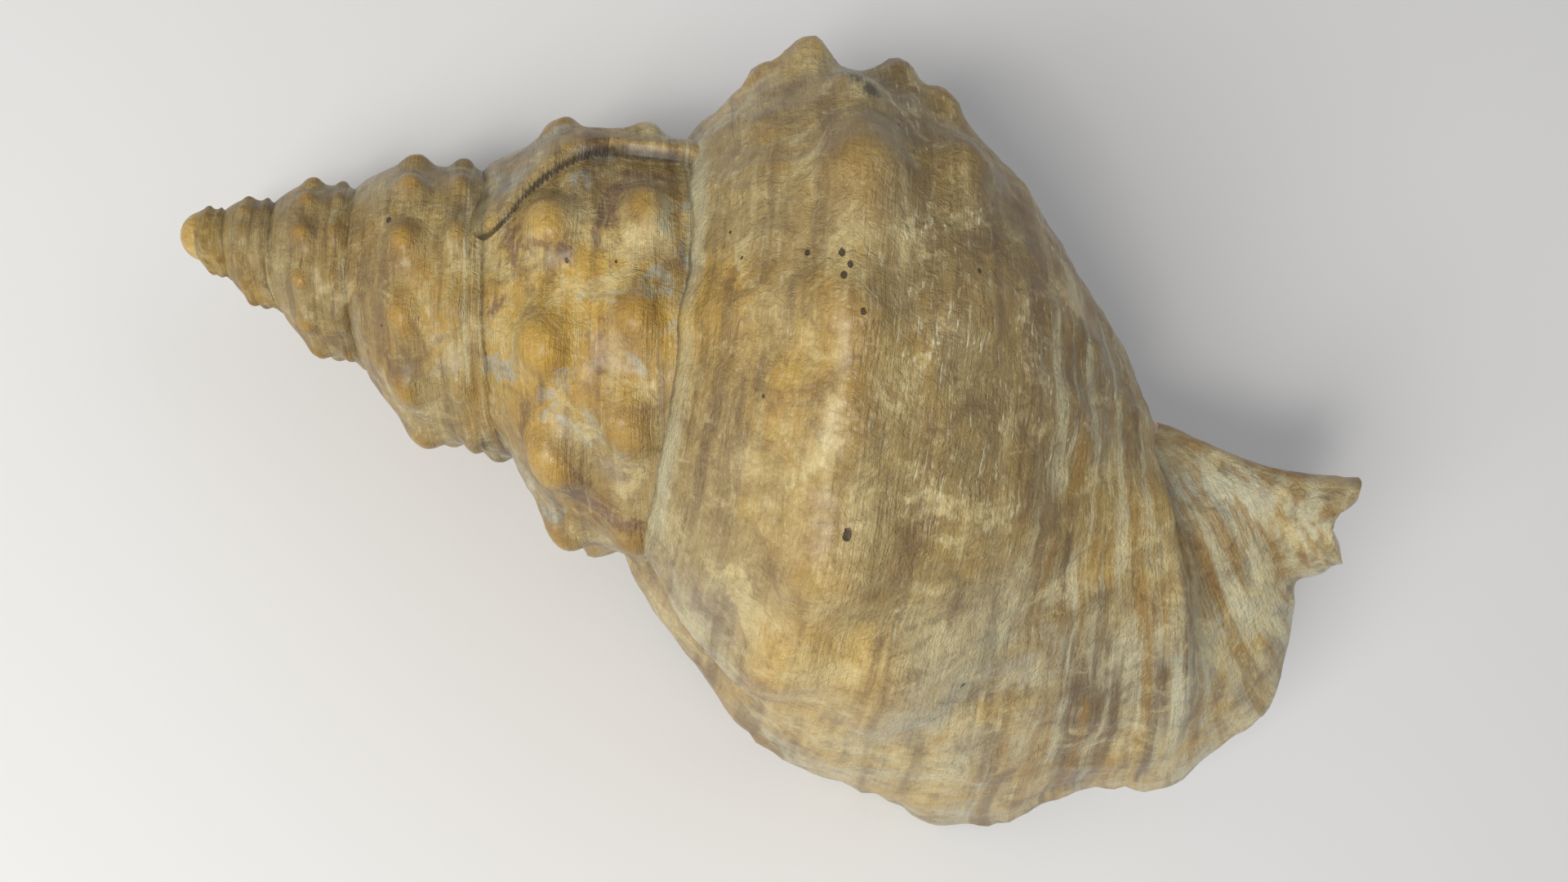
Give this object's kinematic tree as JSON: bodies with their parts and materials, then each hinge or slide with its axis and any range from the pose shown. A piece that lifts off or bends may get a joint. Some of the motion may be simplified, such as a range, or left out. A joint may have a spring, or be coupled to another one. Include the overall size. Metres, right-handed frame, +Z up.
{
  "type": "knobbed triton sea snail shell",
  "caption": "Large worn sea snail shell lying on its aperture: tall knobbed spire, an old lip ridge, a swollen last whorl, a wide flared lip and a short canal.",
  "frame": {"origin": "bottom centre of the bounding box, at the level the shell rests on", "axes": "+X roughly along the coiling axis from the apex to the canal, whose end is raised a little; +Z up, away from the surface it rests on, with the back of the shell on top; -Y towards the flared lip"},
  "size_m": [0.2334, 0.133, 0.1131],
  "materials": {
    "worn_shell": "worn semi-gloss"
  },
  "bodies": {
    "root": {"shell": "worn_shell"}
  },
  "joints": []
}
